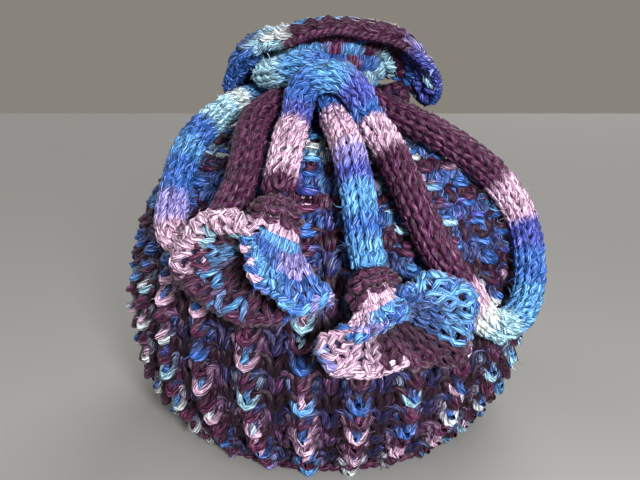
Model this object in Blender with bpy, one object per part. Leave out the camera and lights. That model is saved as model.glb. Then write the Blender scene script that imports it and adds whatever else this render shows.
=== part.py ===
"""A knitted tea cosy: two ribbed panels seamed at the sides, open there as slits for the spout and the
handle, gathered at the neck under a ruffled frill by a knitted drawstring that ends in two flowers.

Frame: the hem stands on z = 0, -X is the spout side, +X the handle side and -Y the front.
"""

import math

import bmesh
import bpy
import numpy as np
from mathutils import Vector

MM = 0.001

# Driving sizes
FABRIC = 6.5 * MM  # thickness of the doubled yarn's rib
DEPTH_RATIO = 0.96  # front to back size over side to side size
SEAM_GAP = 0.3 * MM
PANEL_WALES = 28  # columns of stitches in one panel
DOME_ROWS = 17  # steps of the panel from hem to neck
ROW_CROWDING = 1.25  # 1 for even steps, more for steps that get shorter towards the neck
FRILL_ROWS = 6
CORD_RADIUS = 5.7 * MM
CORD_STEP = 10.5 * MM  # between the points of a cord's tube

# The dome from the hem to the neck: place, height and radius in millimetres
DOME = (
    ("hem", 0, 80.5),
    ("hem_edge", 3, 80.7),
    ("foot", 9, 86.5),
    ("skirt", 20, 93.5),
    ("low_belly", 35, 99.7),
    ("belly", 52, 102.2),
    ("high_belly", 70, 102.4),
    ("side", 90, 98.8),
    ("upper_side", 105, 93.7),
    ("shoulder", 120, 85.5),
    ("upper_shoulder", 133, 74.3),
    ("crown", 142, 61.4),
    ("crown_edge", 149.5, 45.0),
    ("gather", 155, 31.5),
    ("neck", 160, 25.3),
    ("neck_top", 166, 25.0),
)

# The frill's edge: angle in degrees from +X towards the back, reach from the axis and height in millimetres
FRILL = (
    (5, 48, 157),
    (27, 43, 172),
    (55, 39, 181),
    (86, 45, 174),
    (112, 39, 182),
    (140, 45, 172),
    (164, 44, 160),
    (186, 48, 163),
    (205, 45, 175),
    (222, 38, 181),
    (240, 36, 182),
    (257, 33, 186),
    (275, 32, 187.5),
    (297, 33, 186),
    (318, 41, 182),
    (338, 51, 170),
    (351, 52, 160),
)
FRILL_LENGTH = 42 * MM  # of the frill's stitches, from the neck to its edge
FRILL_CURL = 0.25  # how soon the frill leans out, 0 at its edge and 1 at the neck
FRILL_BEND = 0.75  # share of its length at which the frill bends over
FRILL_DROP = 22 * MM  # the most that the bend may lie above the edge

# The ribs: place along the panel, from 0 at the hem to 1 at the neck and 2 at the frill's edge, and depth
RIBS = (
    (0.00, 1.0),
    (0.15, 1.6),
    (0.45, 1.6),
    (0.60, 0.9),
    (0.85, 1.2),
    (0.94, 2.2),
    (1.00, 2.6),
    (1.20, 2.2),
    (2.00, 1.6),
)

# The slits, by height in millimetres and by half their width in degrees of the dome
SLIT_LOW = 63
SLIT_HIGH = 129
SLIT_HALF_ANGLE = 9.5
SLIT_SPREAD = 24  # degrees over which the stitches beside a slit close up

# The drawstring's route in millimetres: from the left flower over the knot, round the right loop, behind the
# knot, round the left loop, then round the neck
DRAWSTRING = (
    (-19.6, -85.9, 125.4), (-19, -81.5, 130.8), (-17.5, -75, 138.8), (-16, -67, 146.5),
    (-14, -59, 152), (-12.8, -54.5, 158.5), (-10.8, -54.5, 165), (-4.5, -56, 169.3),
    (4, -56.3, 169), (11, -55.6, 163.5), (14, -55.3, 157), (16.8, -58.4, 151.2),
    (20.3, -66.5, 146.2), (25, -75.5, 137), (29, -81.5, 128), (33, -86, 119),
    (37.5, -88.7, 110), (43, -90.5, 101), (48.5, -90, 93.5), (53, -89, 87.5),
    (57.5, -87.9, 80.5), (65.5, -83.9, 74), (73.5, -77.9, 73.3), (80, -71.3, 76.3),
    (84.3, -65, 83), (86, -59.5, 92), (86, -53.5, 102.5), (83.5, -49.5, 112),
    (77.5, -49.5, 121), (69.3, -50, 130), (58.5, -50.5, 138.3), (46.5, -49.5, 146),
    (34.5, -45.5, 151.9), (24, -39.5, 157), (14.5, -34.8, 160), (6, -33.6, 160.8),
    (-6, -33.6, 160.8), (-17, -35.5, 159.8), (-25.5, -43, 157.3), (-30.5, -53, 152.3),
    (-32, -63, 145.5), (-32.5, -72, 137.5), (-34, -77.5, 130.5), (-37, -81, 124),
    (-41, -83, 117.5), (-46, -83.7, 111.3), (-52, -82.5, 107.3), (-58, -79.3, 107),
    (-62.5, -74.8, 110.5), (-63.3, -70.5, 117), (-62.8, -65, 124), (-62, -58, 131.5),
    (-60.5, -50, 139.3), (-57, -42, 146), (-51.5, -33.5, 152), (-45, -25.5, 157),
    (-38.5, -16, 160.2), (-34.3, -4, 161.6), (-30.7, 13, 161.8), (-18, 27.7, 161.8),
    (0, 33, 161.8), (18, 27.7, 161.8), (30.7, 13, 161.8), (33.8, -4, 161.8),
    (31, -15, 162),
)
# Its other end, from the gathers left of the neck over the knot down to the right flower
DRAWSTRING_END = (
    (-29, -20, 172), (-27, -29, 171.5), (-21, -37.5, 172), (-13, -42.5, 174.3),
    (-5, -43.8, 174), (0, -44, 168), (1.6, -45, 160.5), (2.2, -51, 152.8),
    (3.8, -60.5, 149), (6.7, -73, 142.3), (8.8, -81.8, 133), (10.3, -88.5, 124.5),
    (11.5, -94, 114.5), (13.2, -98.4, 102.9),
)

# The flowers, in millimetres: the middle of the bud that the cord ends in, the way the bell hangs from
# it, and the route of the bell's edge, whose first point is where the edge comes nearest to the bud.
FLOWER_PETAL = 4.2 * MM  # thickness of a petal
GATHERED_PETAL = 0.4  # its share of that at the bud
FLOWER_BUD = 9.0 * MM  # radius of the bud
LEFT_FLOWER = {
    "bud": (-20.5, -92, 118),
    "hangs": (-0.25, -0.45, -0.86),
    "edge": (
        (-28.5, -104, 116.5), (-33, -100.5, 121.5), (-39, -98, 122.5), (-46.5, -93.5, 118.5),
        (-52.5, -92, 111.5), (-57, -91, 103), (-56, -90.5, 95), (-50, -91.5, 90.5),
        (-40.5, -97.5, 85.5), (-30, -100.5, 82.5), (-22, -102, 83), (-13, -103, 86.5),
        (-4, -104.5, 91), (1, -107, 96), (0, -112.5, 98), (-5, -118, 97),
        (-11, -119.5, 96.5), (-18, -117.5, 99.5), (-23.5, -114.5, 104), (-27, -110, 110),
    ),
}
RIGHT_FLOWER = {
    "bud": (15.5, -102.5, 94),
    "hangs": (0.35, -0.60, -0.72),
    "edge": (
        (28.5, -109, 97.5), (33, -108.5, 100.5), (40, -107, 101), (46.5, -106, 97),
        (49, -104.5, 89.5), (48.5, -101, 81), (50.5, -96, 72.5), (45, -96, 66.5),
        (35, -98.5, 66), (27.5, -102.5, 67), (20.5, -108, 68.5), (13.5, -112, 68.5),
        (7, -114.5, 69.5), (0.5, -115.5, 71.5), (-3.5, -114.5, 76.5), (-2.5, -112.5, 81),
        (4, -113.5, 84), (11, -116, 85), (17.5, -117.5, 87), (22.5, -114.5, 92),
    ),
}
FLOWER_AROUND = 36  # points round the bell
BELL_STEPS = 8  # from the bud's top out to the edge
BUD_SHARE = 0.3  # of those steps that lie on the bud
BUD_WRAP = 0.6 * math.pi  # how far round the bud they reach
BUD_FLOOR = 2.5 * MM  # the hollow's end, below the middle of the bud
EVENING_PASSES = 3  # over the directions in which the petals are thickened
WAIST_DROP = 0.8  # of the bud's radius, down from its middle to where the petals leave it
PETAL_BEND = 0.3  # share of the way from the waist to the edge at which a petal bends
PETAL_BELLY = 3 * MM  # how much further down the bend hangs

# Colours of the yarn
PLUM = (0.10, 0.025, 0.065, 1)
BLUE = (0.06, 0.16, 0.55, 1)
PINK = (0.62, 0.42, 0.58, 1)


def clear_scene():
    """Removes every object that is in the scene."""
    for obj in list(bpy.data.objects):
        bpy.data.objects.remove(obj, do_unlink=True)


def make_collection(name):
    collection = bpy.data.collections.new(name)
    bpy.context.scene.collection.children.link(collection)
    return collection


def yarn(name, colour):
    """A soft, slightly silky yarn of one colour."""
    material = bpy.data.materials.new(name)
    material.use_nodes = True
    shader = material.node_tree.nodes["Principled BSDF"]
    shader.inputs["Base Color"].default_value = colour
    shader.inputs["Roughness"].default_value = 0.75
    shader.inputs["Metallic"].default_value = 0.0
    return material


def smooth_step(x):
    x = min(max(x, 0.0), 1.0)
    return x * x * (3 - 2 * x)


def spline(points, closed=False, steps=12):
    """Points on a smooth curve through these ones, as an array with a row for each."""
    held = np.array(points, float)
    if closed:
        around = np.vstack([held[-1], held, held[:2]])
    else:
        around = np.vstack([2 * held[0] - held[1], held, 2 * held[-1] - held[-2]])
    out = []
    for a, b, c, d in zip(around, around[1:], around[2:], around[3:]):
        slope = c - a
        square = 2 * a - 5 * b + 4 * c - d
        cube = 3 * b - a - 3 * c + d
        for t in np.arange(steps) / steps:
            out.append(0.5 * (2 * b + slope * t + square * t**2 + cube * t**3))
    if not closed:
        out.append(held[-1])
    return np.array(out)


def along(points):
    """The distance along these points, from 0 at the first."""
    return np.concatenate([[0], np.cumsum(np.linalg.norm(np.diff(points, axis=0), axis=1))])


class Dome:
    """The outer side of the panels' fabric: a turned form that the frill crowns."""

    def __init__(self):
        self.curve = spline([(radius * MM, height * MM) for _, height, radius in DOME])
        self.run = along(self.curve)
        edge = np.array([(reach * MM, height * MM) for _, reach, height in FRILL])
        angles = np.array([angle for angle, _, _ in FRILL], float)
        self.edge = spline(edge, closed=True)
        turns = np.append(angles, angles[0] + 360)
        steps = len(self.edge) // len(FRILL)
        self.edge_angles = np.concatenate(
            [np.linspace(a, b, steps, endpoint=False) for a, b in zip(turns, turns[1:])]
        )

    def dome_point(self, place):
        """Radius, height and outward normal at a place from 0, the hem, to 1, the neck's top."""
        run = place * self.run[-1]
        point = np.array([np.interp(run, self.run, self.curve[:, k]) for k in (0, 1)])
        low, high = (np.clip(run + step, 0, self.run[-1]) for step in (-2 * MM, 2 * MM))
        ends = [[np.interp(at, self.run, self.curve[:, k]) for k in (0, 1)] for at in (low, high)]
        way = np.subtract(ends[1], ends[0])
        normal = np.array([way[1], -way[0]]) / np.linalg.norm(way)
        flat = 1 - smooth_step(run / (6 * MM))  # the hem's edge is level
        normal = normal * (1 - flat) + np.array([1, 0]) * flat
        return point, normal / np.linalg.norm(normal)

    def frill_point(self, place, angle):
        """As dome_point, for a place from 0, the neck's top, to 1, the frill's edge."""
        start = self.curve[-1]
        end = np.array(
            [np.interp(angle, self.edge_angles, self.edge[:, k], period=360) for k in (0, 1)]
        )
        bend_radius = start[0] + FRILL_CURL * (end[0] - start[0])
        bend_height = min(start[1] + FRILL_BEND * FRILL_LENGTH, end[1] + FRILL_DROP)
        bend = np.array([bend_radius, bend_height])
        point = (1 - place) ** 2 * start + 2 * place * (1 - place) * bend + place**2 * end
        way = (1 - place) * (bend - start) + place * (end - bend)
        normal = np.array([way[1], -way[0]])
        return point, normal / np.linalg.norm(normal)

    def place(self, place, angle, wale, depth):
        """The point of the fabric at a place up the panel, an angle, a wale and a depth below its face."""
        if place <= 1:
            point, normal = self.dome_point(place)
        else:
            point, normal = self.frill_point(place - 1, angle)
        rib = np.interp(place, [at for at, _ in RIBS], [deep for _, deep in RIBS]) * MM
        trough = 0.5 * rib * (1 + math.cos(math.pi * wale))  # even wales lie deeper
        radius, height = point - (depth + trough) * normal
        turn = math.radians(angle)
        level = height if place > 0 else 0.0
        return Vector((radius * math.cos(turn), DEPTH_RATIO * radius * math.sin(turn), level))

    def opening(self, place):
        """Half the angle by which a slit is open at this place."""
        if place >= 1:
            return 0.0
        height = self.dome_point(place)[0][1] / MM
        share = (height - SLIT_LOW) / (SLIT_HIGH - SLIT_LOW)
        return SLIT_HALF_ANGLE * math.sin(math.pi * share) ** 0.7 if 0 < share < 1 else 0.0


def panel_angle(dome, start, across, place):
    """The angle of a stitch of the panel that begins at start degrees, spread apart beside the slits."""
    plain = 180 * across
    push = math.exp(-((plain / SLIT_SPREAD) ** 2)) - math.exp(-(((180 - plain) / SLIT_SPREAD) ** 2))
    return start + plain + dome.opening(place) * push


def place_of_row(row):
    """The place up a panel of one of its rows: 0 at the hem, 1 at the neck's top, 2 at the frill's edge."""
    if row > DOME_ROWS:
        return 1 + (row - DOME_ROWS) / FRILL_ROWS
    return 1 - (1 - row / DOME_ROWS) ** ROW_CROWDING


def make_panel(name, dome, start, collection, material):
    """One panel, knitted as a flat slab, then laid over the dome. It faces away from start + 90 degrees."""
    steps = DOME_ROWS + FRILL_ROWS
    bm = bmesh.new()
    bmesh.ops.create_grid(bm, x_segments=PANEL_WALES, y_segments=steps, size=0.5)
    slab = bmesh.ops.extrude_face_region(bm, geom=bm.faces[:])
    for part in slab["geom"]:
        if isinstance(part, bmesh.types.BMVert):
            part.co.z = -1
    for vert in bm.verts:
        across = vert.co.x + 0.5
        place = place_of_row((vert.co.y + 0.5) * steps)
        angle = panel_angle(dome, start, across, place)
        point = dome.place(place, angle, across * PANEL_WALES, -vert.co.z * FABRIC)
        side = 1 if start == 0 else -1
        if abs(point.y) < SEAM_GAP:
            point.y = side * SEAM_GAP / 2
        vert.co = point
    return add_mesh(name, bm, collection, material)


def add_mesh(name, bm, collection, material):
    """Makes the closed form an object, with its faces turned outwards."""
    if bm.calc_volume(signed=True) < 0:
        bmesh.ops.reverse_faces(bm, faces=bm.faces[:])
    mesh = bpy.data.meshes.new(name)
    bm.to_mesh(mesh)
    bm.free()
    mesh.materials.append(material)
    mesh.shade_smooth()
    mesh.set_sharp_from_angle(angle=math.radians(50))
    obj = bpy.data.objects.new(name, mesh)
    collection.objects.link(obj)
    return obj


def make_cord(name, route, collection, material):
    """A plain tube on a smooth curve through the route."""
    curve_points = spline(route) * MM
    run = along(curve_points)
    count = max(int(run[-1] / CORD_STEP), 8)
    at = np.linspace(0, run[-1], count + 1)
    points = np.stack([np.interp(at, run, curve_points[:, k]) for k in range(3)], axis=1)
    curve = bpy.data.curves.new(name, "CURVE")
    curve.dimensions = "3D"
    curve.bevel_depth = CORD_RADIUS
    curve.bevel_resolution = 2
    curve.use_fill_caps = True
    line = curve.splines.new("POLY")
    line.points.add(count)
    for target, point in zip(line.points, points):
        target.co = (*point, 1)
    curve.materials.append(material)
    obj = bpy.data.objects.new(name, curve)
    collection.objects.link(obj)
    return obj


class Bell:
    """A flower: petals from the bud out to a wavy edge. Its points are indexed by petal, then by step."""

    def __init__(self, spec):
        self.bud = np.array(spec["bud"]) * MM
        self.hangs = np.array(spec["hangs"]) / np.linalg.norm(spec["hangs"])
        self.edge = self.even_edge(spline(spec["edge"], closed=True) * MM)
        self.out = self.spokes()
        self.face = np.stack([self.ring(step / BELL_STEPS) for step in range(BELL_STEPS + 1)], axis=1)
        self.inside = self.face + self.thickness()[:, None] * self.inward()

    def even_edge(self, edge):
        looped = np.vstack([edge, edge[:1]])
        run = along(looped)
        at = np.linspace(0, run[-1], FLOWER_AROUND, endpoint=False)
        return np.stack([np.interp(at, run, looped[:, k]) for k in range(3)], axis=1)

    def spokes(self):
        """Directions square to the way the bell hangs, evenly turned, that follow the edge as they can."""
        side = np.cross(self.hangs, [0, 0, 1])
        side /= np.linalg.norm(side)
        up = np.cross(side, self.hangs)
        out = self.edge - self.bud
        seen = np.unwrap(np.arctan2(out @ up, out @ side))
        turns = np.arange(FLOWER_AROUND) / FLOWER_AROUND * math.tau
        turns *= np.sign(seen[-1] - seen[0])
        turns += np.mean(seen - turns)
        return np.outer(np.cos(turns), side) + np.outer(np.sin(turns), up)

    def ring(self, place):
        """All petals' points at one place, from 0 at the bud's top to 1 at the edge."""
        turn = BUD_WRAP * min(place / BUD_SHARE, 1)
        on_bud = self.bud + FLOWER_BUD * (math.sin(turn) * self.out - math.cos(turn) * self.hangs)
        if place <= BUD_SHARE:
            return on_bud
        share = (place - BUD_SHARE) / (1 - BUD_SHARE)
        waist = self.bud + FLOWER_BUD * (self.out + WAIST_DROP * self.hangs)
        bend = waist + PETAL_BEND * (self.edge - waist) + PETAL_BELLY * self.hangs
        return (1 - share) ** 2 * on_bud + 2 * share * (1 - share) * bend + share**2 * self.edge

    def thickness(self):
        """The petals' thickness at each step, less near the bud, where they are gathered."""
        place = np.arange(BELL_STEPS + 1) / BELL_STEPS
        return FLOWER_PETAL * (GATHERED_PETAL + (1 - GATHERED_PETAL) * place)

    def inward(self):
        """The directions square to the petals' face, into the bell, evened out round it."""
        around = np.roll(self.face, -1, axis=0) - np.roll(self.face, 1, axis=0)
        outwards = np.gradient(self.face, axis=1)
        normal = np.cross(around, outwards)
        normal /= np.maximum(np.linalg.norm(normal, axis=2, keepdims=True), 1e-9)
        step = round(0.6 * BELL_STEPS)
        middle = self.face[:, step].mean(axis=0)
        facing = np.einsum("ij,ij->i", normal[:, step], middle - self.face[:, step]).sum()
        normal *= np.sign(facing)
        for _ in range(EVENING_PASSES):
            normal += np.roll(normal, 1, axis=0) + np.roll(normal, -1, axis=0)
            normal /= np.maximum(np.linalg.norm(normal, axis=2, keepdims=True), 1e-9)
        return normal


def make_flower(name, spec, collection, material):
    """A hollow bell: a sphere whose one half becomes the petals' face and the other their inside."""
    bell = Bell(spec)
    bm = bmesh.new()
    bmesh.ops.create_uvsphere(bm, u_segments=FLOWER_AROUND, v_segments=2 * BELL_STEPS, radius=1)
    first_inside = math.ceil(BUD_SHARE * BELL_STEPS)
    for vert in bm.verts:
        step = round(math.acos(max(-1, min(1, -vert.co.z))) / math.pi * 2 * BELL_STEPS)
        turn = math.atan2(vert.co.y, vert.co.x) / math.tau * FLOWER_AROUND
        index = round(turn) % FLOWER_AROUND
        if step <= BELL_STEPS:
            vert.co = bell.face[index, step]
        elif step == 2 * BELL_STEPS:
            vert.co = bell.bud + BUD_FLOOR * bell.hangs
        else:
            share = (2 * BELL_STEPS - step) / BELL_STEPS
            vert.co = bell.inside[index, round(first_inside + share * (BELL_STEPS - first_inside))]
    return add_mesh(name, bm, collection, material)


def main():
    clear_scene()
    cosy = make_collection("tea_cosy")
    plum, blue, pink = yarn("plum_yarn", PLUM), yarn("blue_yarn", BLUE), yarn("pink_yarn", PINK)
    dome = Dome()
    make_panel("panel_back", dome, 0, cosy, blue)
    make_panel("panel_front", dome, 180, cosy, blue)
    make_cord("drawstring", DRAWSTRING, cosy, plum)
    make_cord("drawstring_end", DRAWSTRING_END, cosy, plum)
    make_flower("flower_left", LEFT_FLOWER, cosy, pink)
    make_flower("flower_right", RIGHT_FLOWER, cosy, pink)


main()
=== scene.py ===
"""The knitted tea cosy, stitch by stitch: every row of yarn is a tube that follows the loops of a real knit
over the shape of the CAD solids. Lengths are in millimetres, except in STAGE and in names that end in _M.
"""

import math

import bpy
import numpy as np
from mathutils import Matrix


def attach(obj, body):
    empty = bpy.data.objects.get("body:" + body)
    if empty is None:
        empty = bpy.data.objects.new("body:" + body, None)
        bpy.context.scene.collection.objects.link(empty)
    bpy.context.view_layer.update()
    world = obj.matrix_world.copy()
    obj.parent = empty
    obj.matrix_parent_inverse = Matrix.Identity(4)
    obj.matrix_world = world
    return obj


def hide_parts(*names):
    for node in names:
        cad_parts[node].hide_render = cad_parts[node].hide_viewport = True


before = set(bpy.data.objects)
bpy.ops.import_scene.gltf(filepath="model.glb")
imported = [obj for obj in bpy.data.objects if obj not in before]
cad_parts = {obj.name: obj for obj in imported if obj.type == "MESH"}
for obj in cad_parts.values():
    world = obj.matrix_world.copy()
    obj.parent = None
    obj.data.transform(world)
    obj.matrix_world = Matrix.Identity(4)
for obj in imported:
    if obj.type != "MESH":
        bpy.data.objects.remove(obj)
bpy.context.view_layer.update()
MM = 0.001
rng = np.random.default_rng(7)

# ---------------------------------------------------------------- the shape, as in the CAD

DEPTH_RATIO = 0.96  # front to back size over side to side size
PANEL_WALES = 28
SPLINE_STEPS = 12  # from one point of a table to the next

# The dome from the hem to the neck: height and radius
DOME = (
    (0, 80.5), (3, 80.7), (9, 86.5), (20, 93.5), (35, 99.7), (52, 102.2), (70, 102.4), (90, 98.8),
    (105, 93.7), (120, 85.5), (133, 74.3), (142, 61.4), (149.5, 45.0), (155, 31.5), (160, 25.3), (166, 25.0),
)

# The frill's edge: angle in degrees from +X towards the back, reach from the axis and height
FRILL = (
    (5, 48, 157), (27, 43, 172), (55, 39, 181), (86, 45, 174), (112, 39, 182), (140, 45, 172), (164, 44, 160),
    (186, 48, 163), (205, 45, 175), (222, 38, 181), (240, 36, 182), (257, 33, 186), (275, 32, 187.5),
    (297, 33, 186), (318, 41, 182), (338, 51, 170), (351, 52, 160),
)
FRILL_LENGTH = 42
FRILL_CURL = 0.25  # how soon the frill leans out
FRILL_RISE = 0.75  # of its length, how high its bend stands over the neck at the most
FRILL_CREST = 22  # how high it stands over the frill's own edge at the most

# The slits: their lowest and highest points, half their width in degrees of the dome, how square their ends
# are, and over how many degrees the stitches beside them are pushed away
SLIT_LOW, SLIT_HIGH = 63, 129
SLIT_HALF_ANGLE, SLIT_FULLNESS, SLIT_SPREAD = 9.5, 0.7, 24

CORD_WALES = 6
CORD_ROW_HEIGHT = 4.5
CORD_LOOP_RADIUS = 4.25  # of the middle of its loops
CORD_CORE_RADIUS = 4.15
CORD_HOLLOW = 0.3  # of the core's radius
DRAWSTRING = (
    (-19.6, -85.9, 125.4), (-19, -81.5, 130.8), (-17.5, -75, 138.8), (-16, -67, 146.5), (-14, -59, 152),
    (-12.8, -54.5, 158.5), (-10.8, -54.5, 165), (-4.5, -56, 169.3), (4, -56.3, 169), (11, -55.6, 163.5),
    (14, -55.3, 157), (16.8, -58.4, 151.2), (20.3, -66.5, 146.2), (25, -75.5, 137), (29, -81.5, 128),
    (33, -86, 119), (37.5, -88.7, 110), (43, -90.5, 101), (48.5, -90, 93.5), (53, -89, 87.5),
    (57.5, -87.9, 80.5), (65.5, -83.9, 74), (73.5, -77.9, 73.3), (80, -71.3, 76.3), (84.3, -65, 83),
    (86, -59.5, 92), (86, -53.5, 102.5), (83.5, -49.5, 112), (77.5, -49.5, 121), (69.3, -50, 130),
    (58.5, -50.5, 138.3), (46.5, -49.5, 146), (34.5, -45.5, 151.9), (24, -39.5, 157), (14.5, -34.8, 160),
    (6, -33.6, 160.8), (-6, -33.6, 160.8), (-17, -35.5, 159.8), (-25.5, -43, 157.3), (-30.5, -53, 152.3),
    (-32, -63, 145.5), (-32.5, -72, 137.5), (-34, -77.5, 130.5), (-37, -81, 124), (-41, -83, 117.5),
    (-46, -83.7, 111.3), (-52, -82.5, 107.3), (-58, -79.3, 107), (-62.5, -74.8, 110.5), (-63.3, -70.5, 117),
    (-62.8, -65, 124), (-62, -58, 131.5), (-60.5, -50, 139.3), (-57, -42, 146), (-51.5, -33.5, 152),
    (-45, -25.5, 157), (-38.5, -16, 160.2), (-34.3, -4, 161.6), (-30.7, 13, 161.8), (-18, 27.7, 161.8),
    (0, 33, 161.8), (18, 27.7, 161.8), (30.7, 13, 161.8), (33.8, -4, 161.8), (31, -15, 162),
)
DRAWSTRING_END = (
    (-29, -20, 172), (-27, -29, 171.5), (-21, -37.5, 172), (-13, -42.5, 174.3), (-5, -43.8, 174),
    (0, -44, 168), (1.6, -45, 160.5), (2.2, -51, 152.8), (3.8, -60.5, 149), (6.7, -73, 142.3),
    (8.8, -81.8, 133), (10.3, -88.5, 124.5), (11.5, -94, 114.5), (13.2, -98.4, 102.9),
)

FLOWER_BUD = 9.0
LEFT_FLOWER = {
    "bud": (-20.5, -92, 118),
    "hangs": (-0.25, -0.45, -0.86),
    "edge": (
        (-28.5, -104, 116.5), (-33, -100.5, 121.5), (-39, -98, 122.5), (-46.5, -93.5, 118.5),
        (-52.5, -92, 111.5), (-57, -91, 103), (-56, -90.5, 95), (-50, -91.5, 90.5),
        (-40.5, -97.5, 85.5), (-30, -100.5, 82.5), (-22, -102, 83), (-13, -103, 86.5),
        (-4, -104.5, 91), (1, -107, 96), (0, -112.5, 98), (-5, -118, 97), (-11, -119.5, 96.5),
        (-18, -117.5, 99.5), (-23.5, -114.5, 104), (-27, -110, 110),
    ),
}
RIGHT_FLOWER = {
    "bud": (15.5, -102.5, 94),
    "hangs": (0.35, -0.60, -0.72),
    "edge": (
        (28.5, -109, 97.5), (33, -108.5, 100.5), (40, -107, 101), (46.5, -106, 97), (49, -104.5, 89.5),
        (48.5, -101, 81), (50.5, -96, 72.5), (45, -96, 66.5), (35, -98.5, 66), (27.5, -102.5, 67),
        (20.5, -108, 68.5), (13.5, -112, 68.5), (7, -114.5, 69.5), (0.5, -115.5, 71.5), (-3.5, -114.5, 76.5),
        (-2.5, -112.5, 81), (4, -113.5, 84), (11, -116, 85), (17.5, -117.5, 87), (22.5, -114.5, 92),
    ),
}
FLOWER_AROUND = 36
RUFFLES = 11  # waves round a flower's edge
RUFFLE_SWING = 1.6
BELL_STEPS = 32  # from the bud's top to the edge
BUD_SHARE = 0.3  # the share of those steps that lies on the bud
BUD_WRAP = 0.6 * math.pi  # how far down the bud they go, as an angle
WAIST_DROP = 0.8  # of the bud's radius, from the bud's middle to the narrow place below it
BELL_BEND, BELL_DROOP = 0.3, 3  # where from waist to edge the petals bend, and how far they hang there
BUD_WALES, BUD_ROWS = 9, 4
PETAL_WALES, PETAL_ROWS = 28, 6

# ---------------------------------------------------------------- the yarn's dye


def from_srgb(*values):
    return tuple(((v / 255 + 0.055) / 1.055) ** 2.4 for v in values)


COLOURS = {
    "plum": from_srgb(62, 14, 50),
    "wine": from_srgb(82, 24, 64),
    "blue": from_srgb(30, 84, 160),
    "royal": from_srgb(52, 64, 150),
    "sky": from_srgb(70, 132, 190),
    "mint": from_srgb(140, 183, 202),
    "white": from_srgb(196, 206, 208),
    "pink": from_srgb(190, 154, 180),
    "lilac": from_srgb(128, 120, 184),
}

# The cord's colours, and the distance in millimetres where one gives way to the next
DRAWSTRING_DYE = (
    "plum 9 pink 35 royal 47 blue 60 sky 72 royal 84 blue 95 pink 112 plum 172 pink 183 white "
    "191 mint 206 sky 228 blue 245 royal 259 pink 280 plum 457 pink 488 lilac 500 blue 518 sky "
    "528 blue 541 mint 558 white 566 sky 590 blue 630 royal 660 plum"
)
DRAWSTRING_END_DYE = "mint 23 sky 34 blue 62 pink 89 lilac 97 royal 106 sky 118 blue 126 sky"

# The dye's runs in a light row: the colour, how long it runs along the yarn, and how often it comes in the
# two strands of the upper rows and in those of the lower rows
LIGHT_RUNS = (
    ("blue", 90, 0.44, 0.34, 0.38, 0.16),
    ("sky", 60, 0.26, 0.24, 0.22, 0.16),
    ("mint", 60, 0.05, 0.16, 0.07, 0.25),
    ("white", 55, 0.02, 0.09, 0.05, 0.15),
    ("pink", 80, 0.07, 0.08, 0.20, 0.22),
    ("lilac", 45, 0.06, 0.05, 0.04, 0.04),
    ("royal", 50, 0.10, 0.04, 0.04, 0.02),
)
PLUM_RUN = (50, 120)  # the shortest and the longest
PLUM_SHARE = 0.72  # of the dark runs, the others being wine
RUN_VARIES = (0.6, 1.5)
BEYOND_ROW = 60  # how far the runs go on past a row's ends
LAST_RUN = 400  # more than any table's last colour has to run


def blended(stops, colours):
    """A dye: a function from distance along the yarn, and from place across the fabric, to colour."""
    colours = np.array(colours)

    def dye(at, across=None):
        return np.stack([np.interp(at, stops, colours[:, part]) for part in range(3)], axis=-1)

    return dye


def table_dye(table, blend=5.0):
    """A dye from a table such as "pink 9 plum 35 blue": pink up to 9, plum up to 35, then blue."""
    words = table.split()
    starts = [0, *map(float, words[1::2])]
    stops, colours = [], []
    for name, start, end in zip(words[::2], starts, [*starts[1:], starts[-1] + LAST_RUN]):
        stops += [start + blend / 2, end - blend / 2]
        colours += [COLOURS[name]] * 2
    return blended(stops, colours)


def across_dye(table, width, blend=0.04, strength=1.0):
    """A dye that goes by the place across the fabric, from a table in shares of the width; strength scales
    its colour, which the petals use for painted shade.
    """
    by_share = table_dye(table, blend)

    def dye(at, across):
        return strength * by_share(np.clip(across / width, 0, 1))

    return dye


def random_dye(length, light, strand, blend=9.0):
    """A dye in random runs. light is the share of light ones, and strand says which column they follow."""
    stops, colours = [-BEYOND_ROW], []
    names = [name for name, *_ in LIGHT_RUNS]
    runs = {name: run for name, run, *_ in LIGHT_RUNS}
    share = np.array([parts[strand] for _, _, *parts in LIGHT_RUNS])
    while stops[-1] < length + BEYOND_ROW:
        if light > rng.random():
            name = rng.choice(names, p=share / share.sum())
            run = runs[name] * rng.uniform(*RUN_VARIES)
        else:
            name = "plum" if rng.random() < PLUM_SHARE else "wine"
            run = rng.uniform(*PLUM_RUN)
        colours.append(COLOURS[name])
        stops.append(stops[-1] + run)
    at, held = [], []
    for start, end, colour in zip(stops, stops[1:], colours):
        at += [start + blend / 2, max(end - blend / 2, start + blend / 2 + 0.1)]
        held += [colour, colour]
    return blended(at, held)


# ---------------------------------------------------------------- surfaces


def spline(points, closed=False, steps=SPLINE_STEPS):
    """Points on a smooth curve through these ones."""
    held = np.array(points, float)
    if closed:
        around = np.vstack([held[-1], held, held[:2]])
    else:
        around = np.vstack([2 * held[0] - held[1], held, 2 * held[-1] - held[-2]])
    t = (np.arange(steps) / steps)[:, None]
    out = [
        0.5 * (2 * b + (c - a) * t + (2 * a - 5 * b + 4 * c - d) * t**2 + (3 * b - a - 3 * c + d) * t**3)
        for a, b, c, d in zip(around, around[1:], around[2:], around[3:])
    ]
    if not closed:
        out.append(held[-1:])
    return np.vstack(out)


def along(points):
    """How far along a line each of its points lies."""
    return np.concatenate([[0], np.cumsum(np.linalg.norm(np.diff(points, axis=0), axis=1))])


def unit(vectors):
    return vectors / np.maximum(np.linalg.norm(vectors, axis=-1, keepdims=True), 1e-9)


def read_off(at, run, line):
    """The points of a line at these distances along it. run holds the distance of each of its own points."""
    return np.stack([np.interp(at, run, line[:, axis]) for axis in range(3)], axis=-1)


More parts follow.
